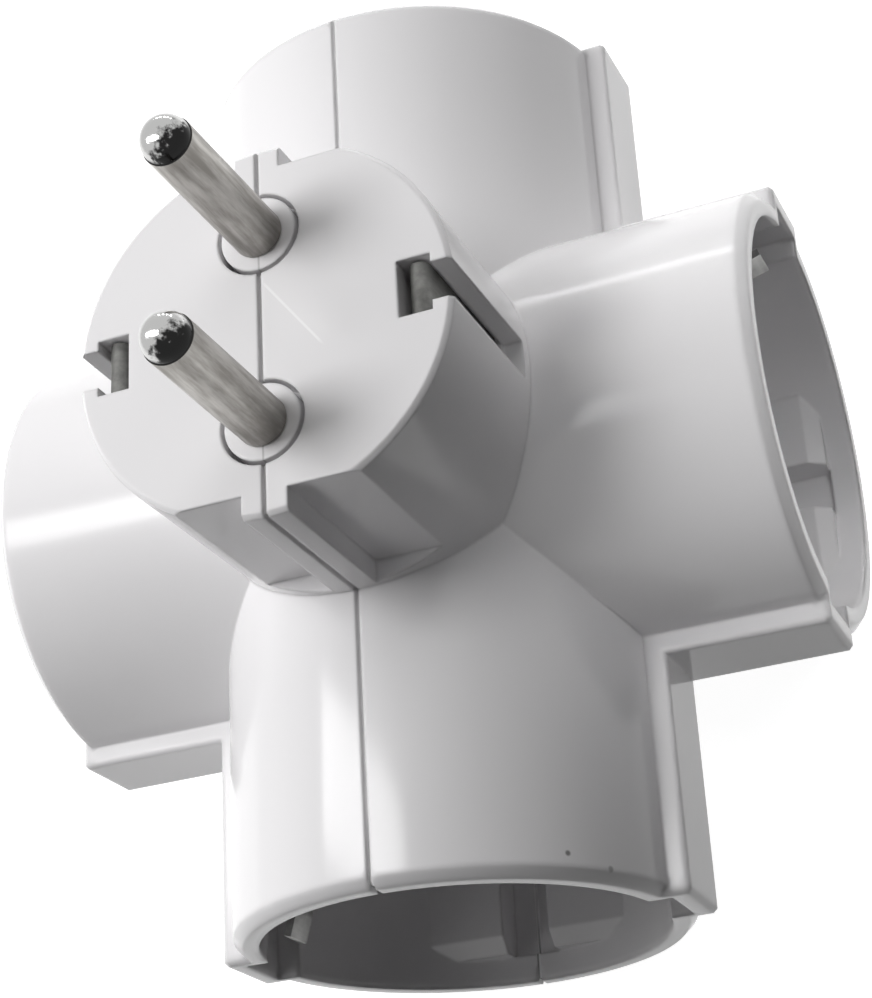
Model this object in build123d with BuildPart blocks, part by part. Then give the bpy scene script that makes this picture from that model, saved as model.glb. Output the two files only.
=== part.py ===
from build123d import *
import os

# Four-way socket extension: an earthed plug with two round pins on the front of a cross of four sockets.
# The frame has the plug's axis on +Z, the long arms along Y and the short arms along X.
# The part lies on its back, so its lowest lines are at z = 0 and the pins point up.
# Lengths are millimetres.

# Plug pins and plug body
pin_pitch = 19.0
pin_diameter = 4.8
pin_length = 19.0
pin_root_diameter = 4.4
plug_diameter = 37.0
plug_reach = 40.5
plug_face_chamfer = 0.4
notch_depth = 2.3
notch_key_width = 4.4
notch_length = 18.1
channel_width = 3.8
channel_length = 17.0
strip_slot_rim = 2.0
strip_slot_depth = 3.2
strip_slot_width = 5.6

# Arms, bands and sockets
arm_diameter = 44.0
long_reach = 46.5
short_reach = 39.5
wall = 2.4
band_half_width = 23.6
band_thickness = 9.0
band_edge_fillet = 0.5
band_end_chamfer = 0.4
rim_chamfer = 0.9
recess_depth = 17.5
floor_thickness = 2.0
lug_clearance = 0.3
lug_setback = 2.8
lug_lead_length = 1.6
lug_lead_depth = 1.3
lug_channel_depth = 0.8
pin_hole_diameter = 5.2
pin_hole_countersink = 6.4
earth_slot_width = 6.8
earth_slot_inset = 2.4
earth_slot_wall = 0.4
groove_depth = 0.9

# Parting line between the two halves
seam_gap = 0.44
seam_depth = 0.3

# What stands inside the halves
face_thickness = 2.5
pocket_wall = 1.0
pocket_length = 14.0
shelf_inner = 3.9
shelf_width = 6.0
shelf_thickness = 2.0
rib_thickness = 1.6
rib_half_width = 6.0
rib_setback = 3.0
boss_diameter = 6.8
peg_diameter = 2.0
peg_boss_diameter = 3.6
peg_length = 3.0
peg_boss_length = 5.0
back_peg_side = 14.0
back_peg_inset = 2.4
front_peg_inset = 2.6
front_peg_height = 25.5
running_gap = 0.1

# Busbars and pin contacts
bar_thickness = 0.8
bar_width = 7.0
bar_end_margin = 2.5
contact_thickness = 0.6
contact_width = 5.6
contact_length = 9.0
contact_setback = 0.6
contact_standoff = 2.7
contact_depth = 5.3
contact_flare = 1.1
contact_flare_length = 2.5
link_thickness = 0.8
link_width = 5.0
neutral_link_gap = 0.6
neutral_link_height = 18.8
neutral_foot_length = 4.4

# Earth clips, links and plug strips
earth_thickness = 0.8
earth_base_width = 6.0
earth_arm_width = 3.4
earth_arm_inset = 1.2
earth_nose_inset = 2.0
earth_nose_height = 12.0
earth_tip_height = 14.6
earth_bend = 1.0
earth_eye_diameter = 10.4
earth_link_inner = 11.0
earth_link_jog_start = 13.5
earth_link_jog_end = 15.0
earth_link_gap = 0.9
strip_thickness = 0.7
strip_width = 5.2
strip_inner_gap = 0.7
strip_outer_gap = 0.6
strip_setback = 0.6
strip_leg_length = 15.0
strip_web_gap = 0.1
strip_web_height = 2.6
tail_inner = 5.6
tail_outer = 9.2
tail_bend_drop = 3.6
tail_foot_height = 5.0
tail_end_height = -3.0

# Fasteners and the bridge that carries the pins
rivet_diameter = 2.0
rivet_head_diameter = 3.4
rivet_head_height = 0.5
shank_diameter = 3.6
peened_diameter = 5.2
peened_height = 0.5
flange_diameter = 6.8
flange_thickness = 1.0
bridge_thickness = 5.0
bridge_width = 11.0
collar_diameter = 7.4
collar_gap = 0.4
screw_diameter = 3.0
screw_head_diameter = 5.6
screw_head_height = 1.6
screw_head_sink = 0.2
screw_length = 32.0
screw_cross_length = 3.6
screw_cross_width = 0.8
screw_cross_depth = 1.0

# Sizes that follow from the ones above
arm_radius = arm_diameter / 2
axis_height = arm_radius
recess_radius = arm_radius - wall
plug_radius = plug_diameter / 2
plug_inner_radius = plug_radius - wall
face_height = axis_height + plug_reach
half_pitch = pin_pitch / 2
long_floor = long_reach - recess_depth
short_floor = short_reach - recess_depth
long_underside = long_floor - floor_thickness
short_underside = short_floor - floor_thickness
groove_radius = recess_radius + groove_depth
notch_floor = plug_radius - notch_depth
lug_face = notch_floor + lug_clearance
lug_gap = notch_key_width + 2 * lug_clearance
strip_slot_outer = plug_radius - strip_slot_rim
strip_slot_inner = strip_slot_outer - strip_slot_depth
strip_outer_face = strip_slot_outer - strip_outer_gap
strip_inner_face = strip_slot_inner + strip_inner_gap
strip_web_top = (recess_radius**2 - tail_outer**2) ** 0.5 - strip_web_gap
strip_web_bottom = strip_web_top - strip_web_height
tail_bend_height = strip_web_bottom - tail_bend_drop
earth_slot_inner = recess_radius - earth_slot_inset
earth_slot_outer = arm_radius - earth_slot_wall
earth_arm_outer = recess_radius - earth_arm_inset
earth_nose_outer = recess_radius - earth_nose_inset
back_peg_height = back_peg_inset - recess_radius
front_peg_side = notch_floor - front_peg_inset
back_peg_places = ((-back_peg_side, back_peg_height), (back_peg_side, back_peg_height))
front_peg_places = ((-front_peg_side, front_peg_height), (front_peg_side, front_peg_height))
neutral_link_side = half_pitch + link_width / 2
neutral_link_edge = ((plug_inner_radius - neutral_link_gap) ** 2 - neutral_link_side**2) ** 0.5
neutral_link_reach = neutral_link_edge - link_thickness
neutral_foot_inner = neutral_link_reach - neutral_foot_length
room_half_width = min(recess_radius, short_underside)
room_half_length = min(recess_radius, long_underside)
bar_inner = half_pitch + contact_standoff + contact_thickness
bar_outer = bar_inner + bar_thickness
bridge_top = plug_reach - face_thickness
bridge_bottom = bridge_top - bridge_thickness
bridge_half_length = notch_floor - wall - running_gap
screw_seat = short_floor - screw_head_sink - screw_head_height
beyond = 2.0

# Each socket has its own frame: local z points out of its mouth and local x to the live pin's hole.
centre = (0, 0, axis_height)
sockets = {
    "upper": Plane(origin=centre, x_dir=(0, 0, 1), z_dir=(0, 1, 0)),
    "lower": Plane(origin=centre, x_dir=(0, 0, 1), z_dir=(0, -1, 0)),
    "right": Plane(origin=centre, x_dir=(0, 0, 1), z_dir=(1, 0, 0)),
    "left": Plane(origin=centre, x_dir=(0, 0, 1), z_dir=(-1, 0, 0)),
}
floors = {"upper": long_floor, "lower": long_floor, "right": short_floor, "left": short_floor}
middle = Plane.XY.offset(axis_height)
across = Plane(origin=centre, x_dir=(1, 0, 0), z_dir=(0, -1, 0))
along = Plane(origin=centre, x_dir=(0, 1, 0), z_dir=(1, 0, 0))


def arm(socket, reach):
    """Makes a round arm that reaches as far on both sides, with its rims bevelled outside."""
    with BuildPart() as tube:
        with BuildSketch(socket):
            Circle(arm_radius)
        extrude(amount=reach, both=True)
        chamfer(edges().filter_by(GeomType.CIRCLE), rim_chamfer)
    return tube.part


def band(socket, reach):
    """Makes the flat band along both sides of an arm, with rounded long edges and bevelled ends."""
    with BuildPart() as strip:
        with BuildSketch(socket):
            RectangleRounded(band_thickness, 2 * band_half_width, band_edge_fillet)
        extrude(amount=reach, both=True)
        length = Axis(socket.origin, socket.z_dir)
        chamfer(faces().sort_by(length)[0].edges(), band_end_chamfer)
        chamfer(faces().sort_by(length)[-1].edges(), band_end_chamfer)
    return strip.part


def lugs(base):
    """Makes a socket's two pairs of guide lugs on its floor's plane, with sloped lead-ins."""
    with BuildPart() as guides:
        lug_outer = recess_radius + wall / 2
        lug_top = recess_depth - lug_setback
        with BuildSketch(Plane(origin=base.origin, x_dir=base.x_dir, z_dir=-base.y_dir)):
            with BuildLine():
                Polyline(
                    (lug_face, 0),
                    (lug_face, lug_top - lug_lead_length),
                    (lug_face + lug_lead_depth, lug_top),
                    (lug_outer, lug_top),
                    (lug_outer, 0),
                    close=True,
                )
            make_face()
            mirror(about=Plane.YZ)
        extrude(amount=arm_radius, both=True)
        with BuildSketch(base):
            Circle(lug_outer)
            Rectangle(2 * arm_radius, lug_gap, mode=Mode.SUBTRACT)
        extrude(amount=lug_top, mode=Mode.INTERSECT)
    return guides.part


def outer_form():
    """Makes the outside of the whole housing: two crossed arms with their bands, and the plug body."""
    with BuildPart() as form:
        with BuildSketch(middle):
            Circle(plug_radius)
        extrude(amount=plug_reach)
        chamfer(edges().sort_by(Axis.Z)[-1], plug_face_chamfer)
        for socket, reach in ((sockets["upper"], long_reach), (sockets["right"], short_reach)):
            add(arm(socket, reach))
            add(band(socket, reach))
    return form.part


# Both halves as one body: the outside, the sockets, the room inside, and what stands in it
with BuildPart() as shell:
    add(outer_form())

    # Recesses, each with two pairs of guide lugs
    for name, socket in sockets.items():
        with BuildSketch(socket.offset(floors[name])):
            Circle(recess_radius)
        extrude(amount=recess_depth + beyond, mode=Mode.SUBTRACT)
        with BuildSketch(socket.offset(floors[name])):
            with GridLocations(2 * recess_radius, 0, 2, 1):
                Rectangle(2 * lug_channel_depth, lug_gap)
        extrude(amount=recess_depth - lug_setback, mode=Mode.SUBTRACT)
        add(lugs(socket.offset(floors[name])))

    # The room inside, one wall in from the outside
    with BuildSketch(sockets["upper"]):
        Circle(recess_radius)
        Rectangle(2 * recess_radius, 2 * room_half_width, mode=Mode.INTERSECT)
    extrude(amount=long_underside, both=True, mode=Mode.SUBTRACT)
    with BuildSketch(sockets["right"]):
        Circle(recess_radius)
        Rectangle(2 * recess_radius, 2 * room_half_length, mode=Mode.INTERSECT)
    extrude(amount=short_underside, both=True, mode=Mode.SUBTRACT)
    with BuildSketch(middle):
        Circle(plug_inner_radius)
        Rectangle(plug_diameter, 2 * (notch_floor - wall), mode=Mode.INTERSECT)
    extrude(amount=bridge_top, mode=Mode.SUBTRACT)

    # Grooves that hold the separate faces of the upper and lower sockets
    for name in ("upper", "lower"):
        with BuildSketch(sockets[name].offset(long_underside - running_gap)):
            Circle(groove_radius)
        extrude(amount=floor_thickness + running_gap, mode=Mode.SUBTRACT)

    # Slots in walls and bands that the earth clips spring back into
    for name, socket in sockets.items():
        slot_depth = earth_slot_outer - earth_slot_inner
        with BuildSketch(socket.offset(floors[name] - floor_thickness - earth_thickness)):
            with GridLocations(0, earth_slot_inner + earth_slot_outer, 1, 2):
                Rectangle(earth_slot_width, slot_depth)
        extrude(amount=long_reach, mode=Mode.SUBTRACT)
        with BuildSketch(socket.offset(floors[name] - floor_thickness - earth_thickness)):
            Rectangle(earth_slot_width, 2 * earth_slot_outer)
        extrude(amount=earth_thickness, mode=Mode.SUBTRACT)

    # Notches on both sides of the plug's two keys
    with BuildSketch(Plane.XY.offset(face_height)):
        with GridLocations(notch_key_width + plug_radius, 2 * notch_floor + plug_radius, 2, 2):
            Rectangle(plug_radius, plug_radius)
    extrude(amount=-notch_length, mode=Mode.SUBTRACT)

    # Pockets for the earth strips, shelves under the pin bridge, and rests for the busbars
    with BuildSketch(middle.offset(bridge_top - pocket_length)):
        pocket_inner = strip_slot_inner - pocket_wall
        with GridLocations(pocket_inner + plug_inner_radius + pocket_wall, 0, 2, 1):
            Rectangle(plug_inner_radius + pocket_wall - pocket_inner, strip_slot_width + 2 * pocket_wall)
    extrude(amount=pocket_length)
    with BuildSketch(middle.offset(bridge_bottom - shelf_thickness)):
        with GridLocations(shelf_inner + strip_slot_inner, 0, 2, 1):
            Rectangle(strip_slot_inner - shelf_inner, shelf_width)
    extrude(amount=shelf_thickness)
    for name in ("upper", "lower"):
        with BuildSketch(sockets[name].offset(long_underside - rib_setback - rib_thickness)):
            rib_depth = recess_radius - bar_outer + wall / 4
            with GridLocations(2 * bar_outer + rib_depth, 0, 2, 1):
                Rectangle(rib_depth, 2 * rib_half_width)
        extrude(amount=rib_thickness)

    # Channels and slots of the plug's earth strips
    with BuildSketch(Plane.XY.offset(face_height)):
        with GridLocations(strip_slot_inner + strip_slot_outer, 0, 2, 1):
            Rectangle(strip_slot_outer - strip_slot_inner, strip_slot_width)
    extrude(amount=-(face_thickness + pocket_length), mode=Mode.SUBTRACT)
    with BuildSketch(Plane.XY.offset(face_height)):
        with GridLocations(strip_slot_outer + plug_radius + beyond, 0, 2, 1):
            Rectangle(plug_radius + beyond - strip_slot_outer, channel_width)
    extrude(amount=-channel_length, mode=Mode.SUBTRACT)

    # Holes for the two collars in the plug's face
    with BuildSketch(Plane.XY.offset(face_height)):
        with GridLocations(0, pin_pitch, 1, 2):
            Circle(collar_diameter / 2 + collar_gap)
    extrude(amount=-face_thickness, mode=Mode.SUBTRACT)

    # Boss along the screw, and bosses for the locating pegs
    with BuildSketch(sockets["right"]):
        Circle(boss_diameter / 2)
    extrude(amount=short_underside, both=True)
    with BuildSketch(along):
        with Locations(*back_peg_places, *front_peg_places):
            Circle(peg_boss_diameter / 2)
    extrude(amount=peg_boss_length, both=True)

    # Pin holes in the moulded floors of the two side sockets
    for name in ("right", "left"):
        with Locations(sockets[name].offset(short_floor)):
            with GridLocations(pin_pitch, 0, 2, 1):
                CounterSinkHole(pin_hole_diameter / 2, pin_hole_countersink / 2, depth=floor_thickness)

# Thin relief that leaves a fine line where the halves meet
with BuildPart() as seam_relief:
    with BuildSketch(along.offset(-seam_gap / 2)):
        with BuildSketch(mode=Mode.PRIVATE) as outline:
            Rectangle(2 * long_reach, arm_diameter)
            with Locations((0, plug_reach / 2)):
                Rectangle(plug_diameter, plug_reach)
        add(outline.sketch)
        offset(outline.sketch, -seam_depth, kind=Kind.INTERSECTION, mode=Mode.SUBTRACT)
    extrude(amount=seam_gap)

with BuildPart() as left_housing:
    add(shell.part)
    split(bisect_by=Plane.YZ, keep=Keep.BOTTOM)
    add(seam_relief.part, mode=Mode.SUBTRACT)
    with BuildSketch(along):
        with Locations(*back_peg_places, *front_peg_places):
            Circle(peg_diameter / 2)
    extrude(amount=peg_length)
    with BuildSketch(along):
        Circle(screw_diameter / 2)
    extrude(amount=screw_seat - screw_length - beyond, mode=Mode.SUBTRACT)

with BuildPart() as right_housing:
    add(shell.part)
    split(bisect_by=Plane.YZ, keep=Keep.TOP)
    add(seam_relief.part, mode=Mode.SUBTRACT)
    with BuildSketch(along):
        with Locations(*back_peg_places, *front_peg_places):
            Circle(peg_diameter / 2 + running_gap)
    extrude(amount=peg_length + running_gap, mode=Mode.SUBTRACT)
    with Locations(sockets["right"].offset(short_floor)):
        CounterBoreHole(
            screw_diameter / 2 + running_gap,
            screw_head_diameter / 2 + running_gap,
            screw_head_sink + screw_head_height,
        )

# Separate faces of the upper and lower sockets
socket_faces = {}
for name in ("upper", "lower"):
    with BuildPart() as socket_face:
        with BuildSketch(sockets[name].offset(long_underside)):
            Circle(groove_radius - running_gap)
            slot_reach = groove_radius + beyond
            with GridLocations(0, earth_slot_inner + slot_reach, 1, 2):
                Rectangle(earth_slot_width, slot_reach - earth_slot_inner, mode=Mode.SUBTRACT)
        extrude(amount=floor_thickness)
        with Locations(sockets[name].offset(long_floor)):
            with GridLocations(pin_pitch, 0, 2, 1):
                CounterSinkHole(pin_hole_diameter / 2, pin_hole_countersink / 2)
    socket_faces[f"{name}_socket_face"] = socket_face.part

# Bridge that carries both pins behind the plug's face, with a collar round each pin
with BuildPart() as pin_bridge:
    with BuildSketch(middle.offset(bridge_bottom)):
        RectangleRounded(bridge_width, 2 * bridge_half_length, flange_thickness)
    extrude(amount=bridge_thickness)
    with BuildSketch(middle.offset(bridge_top)):
        with GridLocations(0, pin_pitch, 1, 2):
            Circle(collar_diameter / 2)
    extrude(amount=face_thickness)
    with BuildSketch(middle.offset(plug_reach)):
        with GridLocations(0, pin_pitch, 1, 2):
            Circle(pin_root_diameter / 2)
    extrude(amount=-(face_thickness + bridge_thickness), mode=Mode.SUBTRACT)


def plug_pin(place, peened_seat):
    """Makes a plug pin at y = place, peened over a bar whose far side is at peened_seat."""
    with BuildPart() as pin:
        with BuildSketch(Plane(origin=(0, place, axis_height), x_dir=(1, 0, 0), z_dir=(0, -1, 0))):
            with BuildLine():
                tip = plug_reach + pin_length
                Polyline(
                    (0, tip),
                    (0, peened_seat - peened_height),
                    (peened_diameter / 2, peened_seat - peened_height),
                    (peened_diameter / 2, peened_seat),
                    (shank_diameter / 2, peened_seat),
                    (shank_diameter / 2, bridge_bottom - flange_thickness),
                    (flange_diameter / 2, bridge_bottom - flange_thickness),
                    (flange_diameter / 2, bridge_bottom),
                    (pin_root_diameter / 2, bridge_bottom),
                    (pin_root_diameter / 2, plug_reach),
                    (pin_diameter / 2, plug_reach),
                    (pin_diameter / 2, tip - pin_diameter / 2),
                )
                RadiusArc((pin_diameter / 2, tip - pin_diameter / 2), (0, tip), -pin_diameter / 2)
            make_face()
        revolve(axis=Axis((0, place, 0), (0, 0, 1)))
    return pin.part


upper_plug_pin = plug_pin(half_pitch, bar_inner)
lower_plug_pin = plug_pin(-half_pitch, neutral_link_height - link_thickness)


def busbar(base):
    """Makes a cross-shaped bar on the plane base, with a hole for each contact's rivet."""
    with BuildPart() as bar:
        with BuildSketch(base):
            SlotOverall(2 * (short_underside - bar_end_margin), bar_width)
            SlotOverall(2 * (long_underside - bar_end_margin), bar_width, rotation=90)
            with Locations(*rivet_places):
                Circle(rivet_diameter / 2, mode=Mode.SUBTRACT)
        extrude(amount=bar_thickness)
    return bar.part


# Contact rivets stand in the middle of each contact's base
contact_foot = contact_length - contact_flare_length
rivet_inset = contact_setback + contact_flare_length + contact_foot / 2
short_rivet = short_underside - rivet_inset
long_rivet = long_underside - rivet_inset
rivet_places = ((short_rivet, 0), (-short_rivet, 0), (0, long_rivet), (0, -long_rivet))
link_place = ((neutral_foot_inner + neutral_link_reach) / 2, -half_pitch)

with BuildPart() as live_busbar:
    add(busbar(middle.offset(bar_inner)))
    with BuildSketch(middle.offset(bar_inner)):
        with Locations((0, half_pitch)):
            Circle(shank_diameter / 2)
    extrude(amount=bar_thickness, mode=Mode.SUBTRACT)

with BuildPart() as neutral_busbar:
    add(busbar(middle.offset(-bar_outer)))
    with BuildSketch(middle.offset(-bar_outer)):
        with Locations((neutral_link_reach / 2, -half_pitch)):
            Rectangle(neutral_link_reach, link_width)
        with Locations(link_place):
            Circle(rivet_diameter / 2, mode=Mode.SUBTRACT)
    extrude(amount=bar_thickness)

# Link from the lower pin round the live bar to the neutral bar
with BuildPart() as neutral_link:
    with BuildSketch(Plane(origin=(0, -half_pitch, axis_height), x_dir=(1, 0, 0), z_dir=(0, -1, 0))):
        with BuildLine():
            FilletPolyline(
                (-peened_diameter / 2, neutral_link_height),
                (neutral_link_reach, neutral_link_height),
                (neutral_link_reach, -bar_inner),
                (neutral_foot_inner, -bar_inner),
                radius=1.5 * link_thickness,
            )
            offset(amount=link_thickness, side=Side.RIGHT)
        make_face()
    extrude(amount=link_width / 2, both=True)
    with BuildSketch(middle.offset(neutral_link_height)):
        with Locations((0, -half_pitch)):
            Circle(shank_diameter / 2)
    extrude(amount=-link_thickness, mode=Mode.SUBTRACT)
    with BuildSketch(middle.offset(-bar_inner)):
        with Locations(link_place):
            Circle(rivet_diameter / 2)
    extrude(amount=link_thickness, mode=Mode.SUBTRACT)

# Spring contacts: a channel whose two leaves grip a pin and flare at their mouth
contacts = {}
for name, socket in sockets.items():
    for pole, side in (("live", 1), ("neutral", -1)):
        mouth = floors[name] - floor_thickness - contact_setback
        neck = mouth - contact_flare_length
        heel = mouth - contact_length
        base_inner = bar_inner - contact_thickness
        leaf_outer = contact_width / 2
        leaf_inner = leaf_outer - contact_thickness
        leaf_view = Plane(origin=socket.origin, x_dir=socket.y_dir, z_dir=socket.x_dir * side)
        with BuildPart() as contact:
            with BuildSketch(leaf_view):
                for hand in (1, -1):
                    with BuildLine():
                        Polyline(
                            (hand * leaf_outer, side * heel),
                            (hand * leaf_outer, side * neck),
                            (hand * (leaf_outer + contact_flare), side * mouth),
                            (hand * (leaf_inner + contact_flare), side * mouth),
                            (hand * leaf_inner, side * neck),
                            (hand * leaf_inner, side * heel),
                            close=True,
                        )
                    make_face()
            extrude(amount=base_inner)
            with BuildSketch(leaf_view):
                with Locations((0, side * (heel + mouth) / 2)):
                    Rectangle(2 * contact_width, 2 * contact_length)
            extrude(amount=base_inner - contact_depth, mode=Mode.SUBTRACT)
            with BuildSketch(leaf_view.offset(base_inner)):
                with Locations((0, side * (heel + neck) / 2)):
                    Rectangle(contact_width, contact_foot)
                    Circle(rivet_diameter / 2, mode=Mode.SUBTRACT)
            extrude(amount=contact_thickness)
        contacts[f"{name}_{pole}_contact"] = contact.part

# Rivets through each contact's base and its bar, and through the link's foot
with BuildPart() as contact_rivets:
    for direction in (1, -1):
        base = middle if direction == 1 else Plane(origin=centre, x_dir=(1, 0, 0), z_dir=(0, 0, -1))
        with BuildSketch(base.offset(bar_inner - contact_thickness)):
            with Locations(*rivet_places):
                Circle(rivet_diameter / 2)
        extrude(amount=contact_thickness + bar_thickness)
        with BuildSketch(base.offset(bar_outer)):
            with Locations(*rivet_places):
                Circle(rivet_head_diameter / 2)
        extrude(amount=rivet_head_height)
    with BuildSketch(middle.offset(-bar_outer)):
        with Locations(link_place):
            Circle(rivet_diameter / 2)
    extrude(amount=bar_thickness + link_thickness)
    with BuildSketch(middle.offset(-bar_outer)):
        with Locations(link_place):
            Circle(rivet_head_diameter / 2)
    extrude(amount=-rivet_head_height)

# Earth clips: a base under the socket's floor, and a sprung arm up each side
earth_clips = {}
for name, socket in sockets.items():
    side_view = Plane(origin=socket.origin, x_dir=socket.y_dir, z_dir=socket.x_dir)
    front_view = Plane(origin=socket.origin, x_dir=socket.x_dir, z_dir=-socket.y_dir)
    floor = floors[name]
    bottom = floor - floor_thickness - earth_thickness
    with BuildPart() as clip:
        with BuildSketch(side_view):
            with BuildLine():
                FilletPolyline(
                    (0, bottom),
                    (earth_arm_outer, bottom),
                    (earth_arm_outer, floor + earth_nose_height / 2),
                    (earth_nose_outer, floor + earth_nose_height),
                    (earth_arm_outer, floor + earth_tip_height),
                    radius=earth_bend,
                )
                offset(amount=earth_thickness, side=Side.LEFT)
            make_face()
            mirror(about=Plane.YZ)
        extrude(amount=earth_base_width / 2, both=True)
        with BuildSketch(front_view):
            arm_side = (earth_base_width - earth_arm_width) / 2 + beyond
            with Locations((0, floor + recess_depth / 2)):
                with GridLocations(earth_arm_width + arm_side, 0, 2, 1):
                    Rectangle(arm_side, recess_depth)
        extrude(amount=arm_radius, both=True, mode=Mode.SUBTRACT)
        with BuildSketch(socket.offset(bottom)):
            Circle(earth_eye_diameter / 2)
        extrude(amount=earth_thickness)
        with BuildSketch(socket.offset(bottom)):
            Circle(boss_diameter / 2 + running_gap)
        extrude(amount=earth_thickness, mode=Mode.SUBTRACT)
    earth_clips[f"{name}_earth_clip"] = clip.part

# Links that join the side clips to the upper and lower clips
earth_links = {}
for name, hand in (("upper", 1), ("lower", -1)):
    side_face = short_underside - earth_thickness
    wall_face = room_half_width - earth_link_gap
    end_face = long_underside - earth_thickness
    with BuildPart() as link:
        with BuildSketch(middle):
            with BuildLine():
                FilletPolyline(
                    (side_face, hand * earth_link_inner),
                    (side_face, hand * earth_link_jog_start),
                    (wall_face, hand * earth_link_jog_end),
                    (wall_face, hand * end_face),
                    (-wall_face, hand * end_face),
                    (-wall_face, hand * earth_link_jog_end),
                    (-side_face, hand * earth_link_jog_start),
                    (-side_face, hand * earth_link_inner),
                    radius=earth_bend + earth_thickness,
                )
                offset(amount=earth_thickness, side=Side.LEFT if hand == 1 else Side.RIGHT)
            make_face()
        extrude(amount=link_width / 2, both=True)
    earth_links[f"{name}_earth_link"] = link.part

# Earth strips of the plug: folded double in the face's slot, with a tail that reaches the side clip
with BuildPart() as right_strip:
    fold_radius = (strip_outer_face - strip_inner_face) / 2
    fold_middle = (strip_outer_face + strip_inner_face) / 2
    fold_height = plug_reach - strip_setback - fold_radius
    with BuildSketch(across):
        with BuildLine():
            Polyline(
                (strip_outer_face - strip_thickness, fold_height),
                (strip_outer_face - strip_thickness, fold_height - strip_leg_length),
                (strip_outer_face, fold_height - strip_leg_length),
                (strip_outer_face, fold_height),
            )
            ThreePointArc(
                (strip_outer_face, fold_height),
                (fold_middle, fold_height + fold_radius),
                (strip_inner_face, fold_height),
            )
            Polyline(
                (strip_inner_face, fold_height),
                (strip_inner_face, strip_web_bottom),
                (strip_inner_face + strip_thickness, strip_web_bottom),
                (strip_inner_face + strip_thickness, fold_height),
            )
            ThreePointArc(
                (strip_inner_face + strip_thickness, fold_height),
                (fold_middle, fold_height + fold_radius - strip_thickness),
                (strip_outer_face - strip_thickness, fold_height),
            )
        make_face()
    extrude(amount=strip_width / 2, both=True)
    with BuildSketch(along.offset(strip_inner_face)):
        with Locations(((tail_outer - strip_width / 2) / 2, (strip_web_top + strip_web_bottom) / 2)):
            Rectangle(tail_outer + strip_width / 2, strip_web_top - strip_web_bottom)
    extrude(amount=strip_thickness)
    with BuildSketch(Plane(origin=(0, tail_outer, axis_height), x_dir=(1, 0, 0), z_dir=(0, -1, 0))):
        with BuildLine():
            tail_foot = short_underside - earth_thickness - strip_thickness
            FilletPolyline(
                (strip_inner_face, strip_web_bottom),
                (strip_inner_face, tail_bend_height),
                (tail_foot, tail_foot_height),
                (tail_foot, tail_end_height),
                radius=strip_thickness,
            )
            offset(amount=strip_thickness, side=Side.LEFT)
        make_face()
    extrude(amount=tail_outer - tail_inner)

with BuildPart() as left_strip:
    add(right_strip.part)
    mirror(about=Plane.YZ, mode=Mode.REPLACE)

# Cross-head screw from the right socket's floor into the left half's boss
with BuildPart() as housing_screw:
    with BuildSketch(sockets["right"].offset(screw_seat)):
        Circle(screw_head_diameter / 2)
    extrude(amount=screw_head_height)
    chamfer(edges().group_by(Axis.X)[-1], screw_head_height / 4)
    with BuildSketch(sockets["right"].offset(screw_seat)):
        Circle(screw_diameter / 2)
    extrude(amount=-screw_length)
    with BuildSketch(sockets["right"].offset(screw_seat + screw_head_height)):
        Rectangle(screw_cross_length, screw_cross_width)
        Rectangle(screw_cross_width, screw_cross_length)
    extrude(amount=-screw_cross_depth, mode=Mode.SUBTRACT)

pieces = {
    "left_housing": left_housing.part,
    "right_housing": right_housing.part,
    **socket_faces,
    "pin_bridge": pin_bridge.part,
    "upper_plug_pin": upper_plug_pin,
    "lower_plug_pin": lower_plug_pin,
    "live_busbar": live_busbar.part,
    "neutral_busbar": neutral_busbar.part,
    "neutral_link": neutral_link.part,
    **contacts,
    "contact_rivets": contact_rivets.part,
    **earth_clips,
    **earth_links,
    "left_earth_strip": left_strip.part,
    "right_earth_strip": right_strip.part,
    "housing_screw": housing_screw.part,
}

os.makedirs("parts", exist_ok=True)
for name, piece in pieces.items():
    piece.label = name
    export_step(piece, f"parts/{name}.step")
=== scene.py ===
import logging
import math
from dataclasses import dataclass, field
from enum import Enum
from typing import Sequence

import bmesh
import bpy
from mathutils import Matrix, Vector


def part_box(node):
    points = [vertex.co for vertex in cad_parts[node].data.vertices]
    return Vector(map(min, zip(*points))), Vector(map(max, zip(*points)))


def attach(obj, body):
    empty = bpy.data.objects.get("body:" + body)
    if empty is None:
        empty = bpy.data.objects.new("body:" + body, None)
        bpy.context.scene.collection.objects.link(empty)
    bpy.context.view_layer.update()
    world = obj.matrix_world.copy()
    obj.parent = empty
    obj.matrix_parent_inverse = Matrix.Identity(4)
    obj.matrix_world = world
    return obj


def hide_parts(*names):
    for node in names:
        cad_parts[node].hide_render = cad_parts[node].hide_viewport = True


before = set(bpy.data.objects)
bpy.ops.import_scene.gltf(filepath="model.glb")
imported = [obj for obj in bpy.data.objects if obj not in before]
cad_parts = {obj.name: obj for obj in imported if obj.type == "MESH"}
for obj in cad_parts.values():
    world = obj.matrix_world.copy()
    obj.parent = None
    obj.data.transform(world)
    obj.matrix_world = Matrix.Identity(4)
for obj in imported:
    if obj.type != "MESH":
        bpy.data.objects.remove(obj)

log = logging.getLogger("socket_extension")
MM = 0.001
Point = tuple[float, float, float]
Colour = tuple[float, float, float]
Span = tuple[float, float]
Socket = bpy.types.NodeSocket


class Duty(Enum):
    """What a lamp does: it gives the part its tones, or only a highlight on glossy surfaces."""

    TONE = "tone"
    HIGHLIGHT = "highlight"


# Node graphs

# A stroke is full up to the first share of its width, and gone from the second on.
STROKE_CORE = 0.2
STROKE_RIM = 0.6
# It fades at both ends over this share of its length.
STROKE_FADE = 0.12
# Rays that the shader of a soft edge sends out.
EDGE_SAMPLES = 4
# Most values of a noise pattern lie between these two.
NOISE_SPAN: Span = (0.3, 0.7)


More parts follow.
